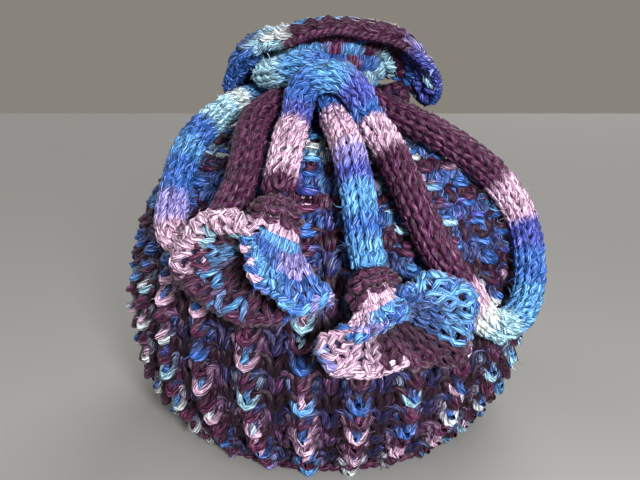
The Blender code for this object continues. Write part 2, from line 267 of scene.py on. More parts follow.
PROFILE = spline([(radius, height) for height, radius in DOME])
PROFILE_RUN = along(PROFILE)
BODY_LENGTH = PROFILE_RUN[-1]
EDGE = spline([(reach, height) for _, reach, height in FRILL], closed=True)
EDGE_ANGLES = np.concatenate(
    [
        np.linspace(a, b, SPLINE_STEPS, endpoint=False)
        for a, b in zip([f[0] for f in FRILL], [f[0] for f in FRILL[1:]] + [FRILL[0][0] + 360])
    ]
)


def fabric_point(angle, run):
    """The fabric's face at an angle in degrees and a distance up from the hem, on over the frill."""
    angle, run = np.broadcast_arrays(np.asarray(angle, float), np.asarray(run, float))
    radius = np.interp(run, PROFILE_RUN, PROFILE[:, 0])
    height = np.interp(run, PROFILE_RUN, PROFILE[:, 1])
    reach = np.interp(angle % 360, EDGE_ANGLES, EDGE[:, 0], period=360)
    top = np.interp(angle % 360, EDGE_ANGLES, EDGE[:, 1], period=360)
    place = np.maximum((run - BODY_LENGTH) / FRILL_LENGTH, 0)
    start_r, start_z = PROFILE[-1]
    bend_r = start_r + FRILL_CURL * (reach - start_r)
    bend_z = np.minimum(start_z + FRILL_RISE * FRILL_LENGTH, top + FRILL_CREST)
    frill_r = (1 - place) ** 2 * start_r + 2 * place * (1 - place) * bend_r + place**2 * reach
    frill_z = (1 - place) ** 2 * start_z + 2 * place * (1 - place) * bend_z + place**2 * top
    on_frill = run > BODY_LENGTH
    radius = np.where(on_frill, frill_r, radius)
    height = np.where(on_frill, frill_z, height)
    turn = np.radians(angle)
    return np.stack([radius * np.cos(turn), DEPTH_RATIO * radius * np.sin(turn), height], axis=-1)


def slit_opening(run):
    """Half a slit's width in degrees, at a distance up from the hem."""
    height = np.interp(run, PROFILE_RUN, PROFILE[:, 1])
    share = np.clip((height - SLIT_LOW) / (SLIT_HIGH - SLIT_LOW), 0, 1)
    return np.where(run < BODY_LENGTH, SLIT_HALF_ANGLE * np.sin(math.pi * share) ** SLIT_FULLNESS, 0.0)


# Rows of stitches, counted up from the hem, and how far up each row line lies
LOWER_ROWS, BODY_ROWS, ALL_ROWS = 12, 25, 32
ROW_LINES = ((0, 0.0), (21, 182.0), (BODY_ROWS, BODY_LENGTH), (ALL_ROWS, BODY_LENGTH + FRILL_LENGTH))


def row_run(row):
    return np.interp(row, [a for a, _ in ROW_LINES], [b for _, b in ROW_LINES])


class Panel:
    """A panel's fabric: across in wales and up in rows. start is where it begins, in degrees."""

    facing = 1

    def __init__(self, start):
        self.start = start

    def place(self, across, row):
        run = row_run(row)
        plain = 180 * across / PANEL_WALES
        push = np.exp(-((plain / SLIT_SPREAD) ** 2)) - np.exp(-(((180 - plain) / SLIT_SPREAD) ** 2))
        return fabric_point(self.start + plain + slit_opening(run) * push, run)


NUDGE = 0.05  # of a stitch, over which a surface's directions are measured


def surface_at(surface, across, row, outward):
    """Points a distance outward from a surface, the outward directions, and the size of one step across."""
    step_across = surface.place(across + NUDGE, row) - surface.place(across - NUDGE, row)
    step_up = surface.place(across, row + NUDGE) - surface.place(across, row - NUDGE)
    normal = unit(np.cross(step_across, step_up)) * surface.facing
    point = surface.place(across, row) + outward[..., None] * normal
    return point, normal, np.linalg.norm(step_across, axis=-1) / (2 * NUDGE)


# ---------------------------------------------------------------- yarn


FULL_GLEAM = 0.13  # a colour's brightest value below which its fibres take on less of the painted gleam: on dark dyes, and where painted shade darkens strands deep in the knit
TUBE_SIDES = 6
TUBE_CAP = [[0, 1, 2, 3], [0, 3, 4, 5]]  # the corners of the two quads that close a tube's end
SQUARE = ((0, 0), (1, 0), (1, 1), (0, 1))
CELL_MARGIN = 0.06  # of a cell in the baked picture, kept free on every side
LOWEST = 0.1  # the strands of the hem that would go through the table lie flat this far above it


def add_object(name, data):
    made = bpy.data.objects.new(name, data)
    bpy.context.scene.collection.objects.link(made)
    return made


def tube_faces(index):
    """The quads of a tube that face outward. index is (..., rings, sides)."""
    here, there = index[..., :-1, :], index[..., 1:, :]
    return np.stack([there, np.roll(there, -1, -1), np.roll(here, -1, -1), here], axis=-1).reshape(-1, 4)


class Yarn:
    """Collects tubes of yarn and makes them one object. Each stretch of a tube bakes into its own cell."""

    def __init__(self):
        self.points, self.faces, self.dye, self.fibre, self.cells = [], [], [], [], []
        self.roots = []  # where fibres may start: point, outward way, colour (dye with painted shade), tube's way and place in its cell
        self.ends = self.end_cells = None  # the triangles that close the fine fibres
        self.count = 0
        self.cell_count = 0

    def add(self, path, normal, radius, colour, per_cell):
        """One tube through path, with a radius and colour for each point. per_cell points share a cell."""
        number, sides = len(path), TUBE_SIDES
        tangent = unit(np.gradient(path, axis=0))
        side = unit(np.cross(tangent, normal))
        up = np.cross(side, tangent)
        turn = np.arange(sides) / sides * math.tau - math.pi / 2
        ring = np.cos(turn)[None, :, None] * side[:, None] + np.sin(turn)[None, :, None] * up[:, None]
        points = path[:, None] + np.asarray(radius)[:, None, None] * ring
        index = self.count + np.arange(number * sides).reshape(number, sides)
        run = along(path)
        k = np.repeat(np.arange(number - 1), sides)
        s = np.tile(np.arange(sides), number - 1)
        u = np.stack([run[k + 1], run[k + 1], run[k], run[k]], axis=1)
        v = np.stack([s, s + 1, s + 1, s], axis=1) / sides
        cell = k // per_cell
        start = k - cell * per_cell
        cu = np.stack([start + 1, start + 1, start, start], axis=1) / per_cell
        self.points.append(points.reshape(-1, 3))
        self.faces.append(tube_faces(index))
        self.fibre.append(np.stack([u, v], axis=-1))
        self.cells.append(np.stack([self.cell_count + cell[:, None] + 0 * cu, cu, v], axis=-1))
        self.dye.append(np.repeat(colour, sides, axis=0))
        self.add_roots(points, ring, colour, tangent, per_cell, int(cell.max()))
        self.count += number * sides
        self.cell_count += int(cell.max()) + 1
        self.close_end(index[0], 0.0)
        self.close_end(index[-1][::-1], run[-1])

    def add_roots(self, points, ring, colour, tangent, per_cell, last_cell):
        """Notes the points on a tube's outer side."""
        number, sides = points.shape[:2]
        ring_cell = np.minimum(np.arange(number) // per_cell, last_cell)
        place = np.stack([
            np.repeat(self.cell_count + ring_cell, sides),
            np.repeat((np.arange(number) - ring_cell * per_cell) / per_cell, sides),
            np.tile(np.arange(sides) / sides, number),
        ], axis=1)
        rooted = [points, ring, np.repeat(colour[:, None], sides, 1), np.repeat(tangent[:, None], sides, 1)]
        outer = np.arange(number * sides).reshape(number, sides)[:, 2 : sides - 1].ravel()
        self.roots.append(np.hstack([value.reshape(-1, 3) for value in rooted] + [place])[outer])

    def close_end(self, ring, run):
        """Closes a tube's end with two quads that share a cell."""
        self.faces.append(ring[TUBE_CAP])
        turned = [(run, corner / TUBE_SIDES) for quad in TUBE_CAP for corner in quad]
        self.fibre.append(np.array(turned).reshape(2, 4, 2))
        halves = [(self.cell_count, left + wide / 2, high) for left in (0, 0.5) for wide, high in SQUARE]
        self.cells.append(np.array(halves).reshape(2, 4, 3))
        self.cell_count += 1

    def add_fuzz(self, number, length=3.4, thickness=0.085):
        """Fine bent fibres that stand out from the strands' outer side, each a thin tube of three sides."""
        roots = np.vstack(self.roots)
        roots = roots[rng.integers(0, len(roots), number)]
        start, out, colour, tangent, place = np.split(roots, (3, 6, 9, 12), axis=1)
        size = length * rng.uniform(0.35, 1.3, (number, 1))
        lean = rng.normal(0, 0.6, (number, 3))
        way = unit(out + 0.9 * rng.choice((-1, 1), (number, 1)) * tangent + lean)
        bent = unit(way + rng.normal(0, 0.7, (number, 3)))
        half = 0.5 * size
        line = np.stack([start - 0.2 * out, start + half * way, start + half * (way + bent)], axis=1)
        side = unit(np.cross(way, rng.normal(0, 1, (number, 3))))
        frame_up = np.cross(side, way)
        turn = np.arange(3) / 3 * math.tau
        ring = np.cos(turn)[:, None] * side[:, None] + np.sin(turn)[:, None] * frame_up[:, None]
        taper = np.array((1.0, 0.8, 0.3))[:, None, None]
        points = line[:, :, None] + thickness * taper * ring[:, None]
        index = self.count + np.arange(number * 9).reshape(number, 3, 3)
        self.ends = np.stack([index[:, 0], index[:, -1, ::-1]], axis=1).reshape(-1, 3)
        self.end_cells = np.repeat(place[:, None], 6, 1).reshape(-1, 3)
        self.points.append(points.reshape(-1, 3))
        self.faces.append(tube_faces(index))
        self.dye.append(np.repeat(np.minimum(1.25 * colour + 0.01, 1), 9, axis=0))
        self.cells.append(np.repeat(place[:, None], 24, 1).reshape(-1, 4, 3))
        self.fibre.append(np.repeat(rng.uniform(0, 9, (number, 1, 2)), 24, 1).reshape(-1, 4, 2))
        self.count += number * 9

    def make(self, name, material):
        points = np.vstack(self.points) * MM
        points[:, 2] = np.maximum(points[:, 2], LOWEST * MM)
        faces, dye = np.vstack(self.faces), np.vstack(self.dye)
        corners = np.concatenate([faces.ravel(), self.ends.ravel()])
        starts = np.concatenate([np.arange(len(faces)) * 4, faces.size + np.arange(len(self.ends)) * 3])
        fibre = np.vstack([np.vstack(self.fibre).reshape(-1, 2), np.zeros((self.ends.size, 2))])
        cells = np.vstack([np.vstack(self.cells).reshape(-1, 3), self.end_cells])
        # the share of the painted highlight each point takes on: less on dark colours, and so less where
        # painted shade darkens the dye
        gleam_share = np.clip(dye.max(axis=1, keepdims=True) / FULL_GLEAM, 0, 1)
        mesh = bpy.data.meshes.new(name)
        mesh.vertices.add(len(points))
        mesh.vertices.foreach_set("co", points.astype(np.float32).ravel())
        mesh.loops.add(len(corners))
        mesh.loops.foreach_set("vertex_index", corners.astype(np.int32))
        mesh.polygons.add(len(starts))
        mesh.polygons.foreach_set("loop_start", starts.astype(np.int32))
        mesh.update(calc_edges=True)
        mesh.polygons.foreach_set("use_smooth", np.ones(len(starts), bool))
        grid = math.ceil(math.sqrt(self.cell_count))
        corner = np.stack([cells[..., 0] % grid, cells[..., 0] // grid], axis=-1)
        bake = (corner + CELL_MARGIN + (1 - 2 * CELL_MARGIN) * cells[..., 1:]) / grid
        for layer_name, values in (("OFBake", bake), ("fibre", fibre)):
            layer = mesh.uv_layers.new(name=layer_name)
            layer.uv.foreach_set("vector", values.astype(np.float32).ravel())
        # the dye's colour with painted shade mixed in, and in its alpha the share of the painted gleam
        colour = mesh.color_attributes.new("dye", "FLOAT_COLOR", "POINT")
        colour.data.foreach_set("color", np.hstack([dye, gleam_share]).astype(np.float32).ravel())
        mesh.materials.append(material)
        return add_object(name, mesh)


def wander(count, size):
    """Random values round 0, one for each of count stitches and a little like its neighbours'."""
    return np.convolve(np.pad(rng.normal(0, size, count), 1, "edge"), (0.25, 0.5, 0.25), "valid")


# Painted shade: strands that lie deep in the knit, and the troughs, are given a darker and bluer colour: how
# deep is darkest, the share of the colour taken away there, and what is added
DARK_DEPTH = 3.6
DEEP_SHADE_LOSS = (0.95, 0.99, 0.92)
DEEP_SHADE_TINT = tuple(0.15 * part for part in COLOURS["plum"])


def knit_row(
    yarn, surface, row, centres, purl, dye, points, depth, lean, tall, radius, forward, darken=0.8,
    jitter=1.0, rib=0.0, warp=0.0, shade=0.0, spread=0.95, pair=True, backwards=False, hangs=False,
    inside=False,
):
    """Adds a row of loops, as one strand or a pair.

    centres holds each stitch's place across, and purl, 0 or 1, whether its loop lies at the back. lean
    widens a loop's head, tall lengthens it, forward bows it, and jitter makes the loops differ. hangs turns
    the loops over, and inside is for a face that is seen from behind. For the rest see ROW_LOOK.
    """
    number = len(centres)
    t = np.linspace(0, number, number * points + 1)
    stitch = np.minimum(t.astype(int), number - 1)
    theta = (t - stitch) * math.tau
    middle = np.arange(number) + 0.5

    def smooth(values):
        return np.interp(t, middle, values)

    def sized(values):
        return smooth(1 + jitter * values)

    base = np.interp(t, middle, centres)
    ends = (t - smooth(middle)) * (centres[1] - centres[0])  # carries on past the first and last centre
    across = base + ends
    across = across + lean * sized(wander(number, 0.12)) * np.sin(2 * theta) * (centres[1] - centres[0])
    across = across + jitter * smooth(wander(number, 0.035))
    across = across - warp / math.pi * np.sin(math.pi * across)
    swing = (1 if hangs else -1) * tall * sized(wander(number, 0.07)) * np.cos(theta)
    up = row + 0.5 + swing + jitter * smooth(wander(number, 0.05))
    faced = np.clip(1.9 * smooth(1 - 2 * np.asarray(purl, float)), -1, 1)
    _, _, pitch = surface_at(surface, across, up, 0 * across)
    pitch = pitch * np.median(np.diff(centres))
    thick = np.clip(radius * np.minimum(1, 0.35 + 0.065 * pitch), 0.55, radius)  # thinner in narrow stitches
    out = depth - rib * 0.5 * (1 + np.cos(math.pi * across)) - faced * forward * thick * np.cos(2 * theta)
    out = out + jitter * smooth(wander(number, 0.25))
    centre, normal, _ = surface_at(surface, across, up, out)
    run = along(centre)
    tangent = unit(np.gradient(centre, axis=0))
    side = unit(np.cross(normal, tangent))
    thick = thick * (1 + 0.1 * np.abs(np.sin(theta))) * smooth(1 + wander(number, 0.05))
    if pair:
        roll = 0.5 * smooth(wander(number, 0.9)) * jitter
        offset = spread * thick[:, None] * (np.cos(roll)[:, None] * side + np.sin(roll)[:, None] * normal)
        strands = ((centre + offset, 0.0), (centre - offset, 1.0))
    else:
        strands = ((centre, 0.0),)
    # painted shade: the colour of strands that lie deep, and of the troughs, is made darker and bluer
    below = out - depth if inside else depth - out
    sunk = darken * np.clip((below + 0.7 * forward * radius) / DARK_DEPTH, 0, 1)
    painted_shade = 1 - (1 - sunk) * (1 - shade * (0.5 + 0.5 * np.cos(math.pi * across)) ** 0.8)
    for path, which in strands:
        where = run[::-1] if backwards else run
        colour = dye[int(which)](where, across)
        colour = colour * (1 - painted_shade[:, None] * np.array(DEEP_SHADE_LOSS)) + painted_shade[:, None] * np.array(DEEP_SHADE_TINT)
        yarn.add(path, normal, thick, colour, points)


ROPE_STEP = 1.3
ROPE_CELL = 12  # points that share a cell


def rope(yarn, line, normal, dye, radius, swing, pitch):
    """Adds two strands twisted about a line, as along a cast-on or cast-off edge."""
    run = along(line)
    count = int(run[-1] / ROPE_STEP)
    at = np.linspace(0, run[-1], count)
    path = read_off(at, run, line)
    out = unit(read_off(at, run, normal))
    side = unit(np.cross(unit(np.gradient(path, axis=0)), out))
    for strand in range(2):
        turn = at / pitch * math.tau + strand * math.pi
        offset = swing * (np.cos(turn)[:, None] * side + np.sin(turn)[:, None] * out)
        yarn.add(path + offset, out, np.full(count, radius), dye[strand](at, at), ROPE_CELL)


# ---------------------------------------------------------------- materials


FIBRE_TWIST = 0.045  # turns round the strand in each millimetre
STREAKS = ((0.38, 0.02), (0.46, 0.22), (0.54, 1.0), (0.64, 2.9))  # how bright the dye is at each height of the fibres: their streaks, with painted highlights on the high ones and painted shade between them
GLEAM = ((0.53, 0.0), (0.59, 0.06), (0.66, 0.34))  # and how much of the painted highlight's colour it takes on
GLEAM_COLOUR = (0.92, 0.8, 1.0, 1.0)
# painted shade: the near-black mottled colours of the ground between the stitches
GROUND_SHADE_COLOURS = ((0.35, (0.004, 0.002, 0.005)), (0.5, (0.018, 0.004, 0.012)), (0.66, (0.016, 0.03, 0.09)))


def plain_material(name, colour, roughness=0.9, specular=0.1):
    material = bpy.data.materials.new(name)
    material.use_nodes = True
    shader = material.node_tree.nodes["Principled BSDF"]
    shader.inputs["Base Color"].default_value = (*colour, 1)
    shader.inputs["Roughness"].default_value = roughness
    shader.inputs["Specular IOR Level"].default_value = specular
    return material


def add_ramp(material, factor, stops):
    """The colour at each value of factor, from (value, colour) pairs."""
    node = material.node_tree.nodes.new("ShaderNodeValToRGB")
    elements = node.color_ramp.elements
    for at, _ in stops[1:-1]:
        elements.new(at)
    for element, (at, colour) in zip(elements, stops):
        element.position, element.color = at, (*colour, 1)
    material.node_tree.links.new(factor, node.inputs[0])
    return node.outputs["Color"]


def add_relief(material, height, strength, distance):
    nodes, links = material.node_tree.nodes, material.node_tree.links
    bump = nodes.new("ShaderNodeBump")
    bump.inputs["Strength"].default_value = strength
    bump.inputs["Distance"].default_value = distance
    links.new(height, bump.inputs["Height"])
    links.new(bump.outputs["Normal"], nodes["Principled BSDF"].inputs["Normal"])


def yarn_material(name, sheen=0.02):
    """Silky plied yarn: its dye, streaked by its fibres with painted highlights and painted shade, the
    brightest streaks with a painted gleam; the fibres also stand out in relief.
    """
    material = plain_material(name, COLOURS["plum"], 0.48, 0.22)
    nodes, links = material.node_tree.nodes, material.node_tree.links
    shader = nodes["Principled BSDF"]
    shader.inputs["Sheen Weight"].default_value = sheen
    shader.inputs["Sheen Roughness"].default_value = 0.45
    dye = nodes.new("ShaderNodeVertexColor")
    dye.layer_name = "dye"
    uv = nodes.new("ShaderNodeUVMap")
    uv.uv_map = "fibre"
    split = nodes.new("ShaderNodeSeparateXYZ")
    links.new(uv.outputs["UV"], split.inputs[0])

    def math_node(operation, a, b):
        node = nodes.new("ShaderNodeMath")
        node.operation = operation
        for socket, value in zip(node.inputs, (a, b)):
            if isinstance(value, (int, float)):
                socket.default_value = value
            else:
                links.new(value, socket)
        return node.outputs[0]

    # the fibres wind round the strand, so the streaks run aslant
    aslant = math_node("ADD", split.outputs["Y"], math_node("MULTIPLY", split.outputs["X"], FIBRE_TWIST))
    turn = math_node("MULTIPLY", aslant, math.tau)

    def streaks(along_scale, round_scale, detail):
        joined = nodes.new("ShaderNodeCombineXYZ")
        links.new(math_node("MULTIPLY", split.outputs["X"], along_scale), joined.inputs[0])
        links.new(math_node("MULTIPLY", math_node("SINE", turn, 0), round_scale), joined.inputs[1])
        links.new(math_node("MULTIPLY", math_node("COSINE", turn, 0), round_scale), joined.inputs[2])
        noise = nodes.new("ShaderNodeTexNoise")
        noise.inputs["Scale"].default_value = 1.0
        noise.inputs["Detail"].default_value = detail
        noise.inputs["Roughness"].default_value = 0.6
        links.new(joined.outputs[0], noise.inputs["Vector"])
        return noise.outputs["Fac"]

    coarse = math_node("MULTIPLY", streaks(0.16, 3.2, 2.0), 0.62)
    fine = math_node("MULTIPLY", streaks(0.5, 7.5, 1.0), 0.38)
    height = math_node("ADD", coarse, fine)

    def ramp(stops):
        return add_ramp(material, height, [(at, (value, value, value)) for at, value in stops])

    def mix(blend, factor, a, b):
        node = nodes.new("ShaderNodeMix")
        node.data_type, node.blend_type = "RGBA", blend
        for socket, value in ((node.inputs["Factor"], factor), (node.inputs["A"], a), (node.inputs["B"], b)):
            if isinstance(value, (float, tuple)):
                socket.default_value = value
            else:
                links.new(value, socket)
        return node.outputs["Result"]

    # painted highlight and shade: the streaks brighten and darken the dye, and the brightest take on the
    # painted gleam, less on dark colours
    streaked = mix("MULTIPLY", 1.0, dye.outputs["Color"], ramp(STREAKS))
    gleam = math_node("MULTIPLY", ramp(GLEAM), dye.outputs["Alpha"])
    links.new(mix("MIX", gleam, streaked, GLEAM_COLOUR), shader.inputs["Base Color"])
    add_relief(material, height, 0.55, 0.0006)
    return material


def shaded_ground_material(name):
    """The dark depth between the stitches: mottled yarn that is hardly lit, given a near-black colour as
    painted shade.
    """
    material = plain_material(name, GROUND_SHADE_COLOURS[0][1])
    nodes, links = material.node_tree.nodes, material.node_tree.links
    where = nodes.new("ShaderNodeTexCoord")
    noise = nodes.new("ShaderNodeTexNoise")
    noise.inputs["Scale"].default_value = 260.0
    noise.inputs["Detail"].default_value = 3.0
    links.new(where.outputs["Object"], noise.inputs["Vector"])
    mottled = add_ramp(material, noise.outputs["Fac"], GROUND_SHADE_COLOURS)
    links.new(mottled, nodes["Principled BSDF"].inputs["Base Color"])
    add_relief(material, noise.outputs["Fac"], 0.8, 0.001)
    return material


# ---------------------------------------------------------------- camera, light and floor


STAGE = {  # in metres, degrees and Blender's units of light
    "camera": (-0.004, -0.29, 0.161),
    "camera_tilt": 14.2,
    "lens": 31.5,
    # the flash and the light that comes back from the room: where, aimed at, strength and width
    "key": ((0.12, -0.45, 0.225), (0, 0, 0.1), 3.7, 0.07),
    "fill": ((-0.7, -0.35, 0.35), (0, 0, 0.09), 0.6, 0.6),
    # soft light over the whole room: tilt from straight down, the side it comes from, and strength
    "ceiling": (30, 14, 1.0),
    "window": (52, 155, 2.3),
    "lamp": (62, 245, 1.0),
    "softness": 0.7,
    "floor": 6,
}


def set_stage():
    scene = bpy.context.scene
    camera = add_object("camera", bpy.data.cameras.new("camera"))
    camera.data.sensor_width, camera.data.lens = 36, STAGE["lens"]
    camera.data.clip_start = 0.01
    camera.location = STAGE["camera"]
    camera.rotation_euler = (math.radians(90 - STAGE["camera_tilt"]), 0, 0)
    scene.camera = camera
    scene.view_settings.view_transform = "Standard"
    for name in ("key", "fill"):
        where, aim, energy, size = STAGE[name]
        light = add_object(name, bpy.data.lights.new(name, "AREA"))
        light.data.energy, light.data.size = energy, size
        light.location = where
        x, y, z = np.subtract(aim, where)
        light.rotation_euler = (math.atan2(math.hypot(x, y), -z), 0, math.atan2(y, x) - math.pi / 2)
    for name in ("ceiling", "window", "lamp"):
        tilt, side, energy = STAGE[name]
        sun = add_object(name, bpy.data.lights.new(name, "SUN"))
        sun.data.energy, sun.data.angle = energy, STAGE["softness"]
        sun.rotation_euler = (math.radians(tilt), 0, math.radians(side))
    world = bpy.data.worlds.new("room")
    world.use_nodes = True
    wall = world.node_tree.nodes["Background"]
    wall.inputs["Color"].default_value = (0.55, 0.51, 0.44, 1)
    wall.inputs["Strength"].default_value = 0.45
    scene.world = world
    mesh = bpy.data.meshes.new("floor")
    far = STAGE["floor"]
    mesh.from_pydata([(-far, -far, 0), (far, -far, 0), (far, far, 0), (-far, far, 0)], [], [(0, 1, 2, 3)])
    mesh.materials.append(plain_material("table_top", (0.24, 0.236, 0.228), 0.8))
    add_object("floor", mesh)


# ---------------------------------------------------------------- pieces


def grid_mesh(name, face, back, material, closed=False):
    """A thin closed shell between two grids of points, each (across, up, 3). closed joins its two sides."""
    across, up = face.shape[:2]
    points = np.vstack([face.reshape(-1, 3), back.reshape(-1, 3)]) * MM
    index = np.arange(across * up).reshape(across, up)
    faces = []
    last = across if closed else across - 1
    for i in range(last):
        j = (i + 1) % across
        for k in range(up - 1):
            quad = (index[i, k], index[j, k], index[j, k + 1], index[i, k + 1])
            faces.append(quad)
            faces.append(tuple(n + across * up for n in reversed(quad)))
        for k, order in ((0, 1), (up - 1, -1)):
            rim = (index[j, k], index[i, k], index[i, k] + across * up, index[j, k] + across * up)
            faces.append(rim[::order])
    if not closed:
        for i, order in ((0, 1), (across - 1, -1)):
            for k in range(up - 1):
                rim = (index[i, k], index[i, k + 1], index[i, k + 1] + across * up, index[i, k] + across * up)
                faces.append(rim[::order])
    at = points - points.mean(axis=0)
    fan = np.array([(quad[0], quad[k], quad[k + 1]) for quad in faces for k in (1, 2)])
    if np.linalg.det(at[fan]).sum() < 0:  # the faces point in, so each is turned over
        faces = [quad[::-1] for quad in faces]
    mesh = bpy.data.meshes.new(name)
    mesh.from_pydata(points.tolist(), [], faces)
    mesh.materials.append(material)
    mesh.shade_smooth()
    return add_object(name, mesh)


# How the rows are knitted, from the hem up to the frill's edge. depth, below 0, is how far in from the CAD
# face the middle of the loops lies; rib is how much deeper a trough lies; warp above 0 widens the crests and
# below 0 narrows them; shade paints shade into the troughs' colour, and darken paints shade into the colour
# of the strands that lie deep.
ROW_LOOK_ROWS = (0, 2, 10, 14, 20, 25, 27, 32)
ROW_LOOK = {
    "depth": (-2.6, -2.6, -2.6, -2.6, -2.6, -2.6, -3.1, -3.1),
    "rib": (3.0, 6.5, 6.5, 2.4, 2.2, 4.2, 1.6, 0.8),
    "lean": (0.08, 0.08, 0.08, 0.18, 0.2, 0.2, 0.22, 0.22),
    "warp": (-0.05, -0.05, -0.05, 0.22, 0.22, 0.0, 0.0, 0.0),
    "tall": (0.68, 0.68, 0.68, 0.5, 0.5, 0.7, 0.72, 0.72),
    "forward": (1.15, 1.15, 1.15, 1.45, 1.45, 1.25, 1.25, 1.25),
    "jitter": (1.5, 1.5, 1.5, 1.4, 1.2, 1.0, 1.0, 1.0),
    "shade": (0.95, 0.97, 0.95, 0.3, 0.2, 0.2, 0.0, 0.0),
    "darken": (0.85, 0.85, 0.85, 0.6, 0.55, 0.55, 0.35, 0.3),
}
GROUND_DROP = (1.6, 1.6, 1.6, 1.2, 1.2, 1.0, 0.0, 0.0)  # of the ground below the middle of the loops
GROUND_HALF = 0.3  # of its thickness
LIGHT_ROW, LOWER_PLUM_ROW, UPPER_PLUM_ROW = 0.95, 0.1, 0.28  # the share of light runs in each kind of row
LIGHT_ROW_LIFT = 0.2  # of the light rows over the plum ones
BODY_RUN = 900  # more yarn than a row of the body takes
FRILL_RUN = 500
FUZZ = {"lower": 1500, "upper": 1300, "frill": 550}
EDGE_POINTS = 300


def row_look(name, row):
    return np.interp(row, ROW_LOOK_ROWS, ROW_LOOK[name])


def body_dye(row):
    """The two strands' dyes for a row: light rows and plum rows by turns."""
    lower = row < LOWER_ROWS
    light = LIGHT_ROW if row % 2 == 0 else (LOWER_PLUM_ROW if lower else UPPER_PLUM_ROW)
    first = 2 if lower else 0
    return random_dye(BODY_RUN, light, first), random_dye(BODY_RUN, light, first + 1)


def knit_body(yarn, surface, rows):
    """Rib rows: every other wale is a purl one, and lies in a trough."""
    centres = np.arange(0, PANEL_WALES + 1).astype(float)
    centres[0], centres[-1] = 0.45, PANEL_WALES - 0.45
    purl = (np.arange(PANEL_WALES + 1) % 2 == 1).astype(float)
    for row in rows:
        look = {name: row_look(name, row + 0.5) for name in ROW_LOOK}
        look["depth"] += LIGHT_ROW_LIFT if row % 2 == 0 else 0.0
        knit_row(
            yarn, surface, max(row, 0.5), centres, purl, body_dye(row), points=14 - 2 * (row % 2),
            radius=1.62, hangs=True, backwards=row % 2 == 1, **look,
        )


def knit_frill(yarn, surface, side):
    """The frill's knit wales. The neck's gather hides the purl ones between them."""
    centres = np.arange(1.0, PANEL_WALES, 2)
    for row in range(BODY_ROWS, ALL_ROWS):
        look = {name: row_look(name, row + 0.5) for name in ROW_LOOK}
        knit_row(
            yarn, surface, row, centres, 0 * centres, frill_dye(row, side), points=14, radius=1.6,
            spread=0.85, backwards=row % 2 == 1, **look,
        )


def edge_line(surface, inset, row, outward):
    """The line that a cast-on or cast-off edge follows: its places across, its points and outward ways."""
    across = np.linspace(inset, PANEL_WALES - inset, EDGE_POINTS)
    line, normal, _ = surface_at(surface, across, np.full(EDGE_POINTS, row), np.full(EDGE_POINTS, outward))
    return across, line, normal


def add_hem(yarn, surface):
    _, line, normal = edge_line(surface, 0.2, 0.3, -4.2)
    line[:, 2] = 2.8
    rope(yarn, line, normal, body_dye(1), radius=1.5, swing=1.2, pitch=9.0)


def add_rim(yarn, surface, side):
    across, line, normal = edge_line(surface, 0.3, ALL_ROWS - 0.1, -3.1)
    by_place, _ = frill_dye(ALL_ROWS, side)

    def dye(at, _):
        return by_place(at, across=np.interp(at, along(line), across))

    rope(yarn, line, normal, (dye, dye), radius=1.4, swing=1.25, pitch=5.6)


# The ground: a thin shell under the stitches in the near-black painted-shade material, so that the gaps
# between them look dark.
def make_panel_ground(side, surface, material):
    a = np.linspace(0.12, PANEL_WALES - 0.12, 85)
    r = np.linspace(0.45, ALL_ROWS - 0.3, 49)
    across, up = np.meshgrid(a, r, indexing="ij")
    drop = np.interp(up, ROW_LOOK_ROWS, GROUND_DROP)
    deep = row_look("depth", up) - drop - row_look("rib", up) * 0.5 * (1 + np.cos(math.pi * across))
    face, _, _ = surface_at(surface, across, up, deep + GROUND_HALF)
    back, _, _ = surface_at(surface, across, up, deep - GROUND_HALF)
    return grid_mesh(f"{side}_ground", face, back, material)


def make_panel(side, start, material, ground):
    surface = Panel(start)
    made = []
    for part in ("lower", "upper", "frill"):
        yarn = Yarn()
        if part == "lower":
            knit_body(yarn, surface, range(LOWER_ROWS))
            add_hem(yarn, surface)
        elif part == "upper":
            knit_body(yarn, surface, range(LOWER_ROWS, BODY_ROWS))
        else:
            knit_frill(yarn, surface, side)
            add_rim(yarn, surface, side)
        yarn.add_fuzz(FUZZ[part])
        made.append(yarn.make(f"{side}_{part}_stitches", material))
    shell = make_panel_ground(side, surface, ground)
    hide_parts(f"panel_{side}")
    return shell, made


# The frill's colours in front, by share of the panel from left to right, from the neck's row up to the rim
FRILL_FRONT = (
    "sky 0.2 mint 0.32 blue 0.5 sky 0.62 royal 0.75 mint 0.9 sky",
    "blue 0.2 mint 0.3 sky 0.45 blue 0.6 wine 0.7 blue 0.85 mint",
    "blue 0.12 mint 0.28 sky 0.48 wine 0.58 sky 0.7 plum 0.82 mint",
    "sky 0.18 white 0.33 plum 0.55 wine 0.66 blue 0.72 plum",
    "blue 0.19 mint 0.27 white 0.34 sky 0.6 plum 0.85 royal 0.93 blue",
    "blue 0.17 mint 0.22 white 0.34 plum 0.8 lilac 0.87 royal",
    "blue 0.19 mint 0.24 white 0.33 plum 0.8 royal 0.88 mint 0.92 royal",
    "blue 0.21 mint 0.32 plum 0.8 royal 0.93 blue",
)
BACK_LIGHT_ROWS = (0, 1, 3)  # of the frill
BACK_LIGHT, BACK_DARK = 0.85, 0.25


def frill_dye(row, side):
    """The two strands' dyes: by place in front, where the photo shows them, and at random at the back."""
    on_frill = row - BODY_ROWS
    if side == "front":
        dye = across_dye(FRILL_FRONT[on_frill], PANEL_WALES)
        return dye, dye
    light = BACK_LIGHT if on_frill in BACK_LIGHT_ROWS else BACK_DARK
    return random_dye(FRILL_RUN, light, 1), random_dye(FRILL_RUN, light, 0)


CORD_STEP = 1.5  # between the points of its line
CORD_POINTS = 10  # a stitch
CORD_END = 0.12  # of a row, how near the stitches come to the cord's ends
CORD_FUZZ = 2.4  # fibres a millimetre
CORD_SEAM = (0.3, 0.2, 0.9)  # the way that says on which side its first wale lies


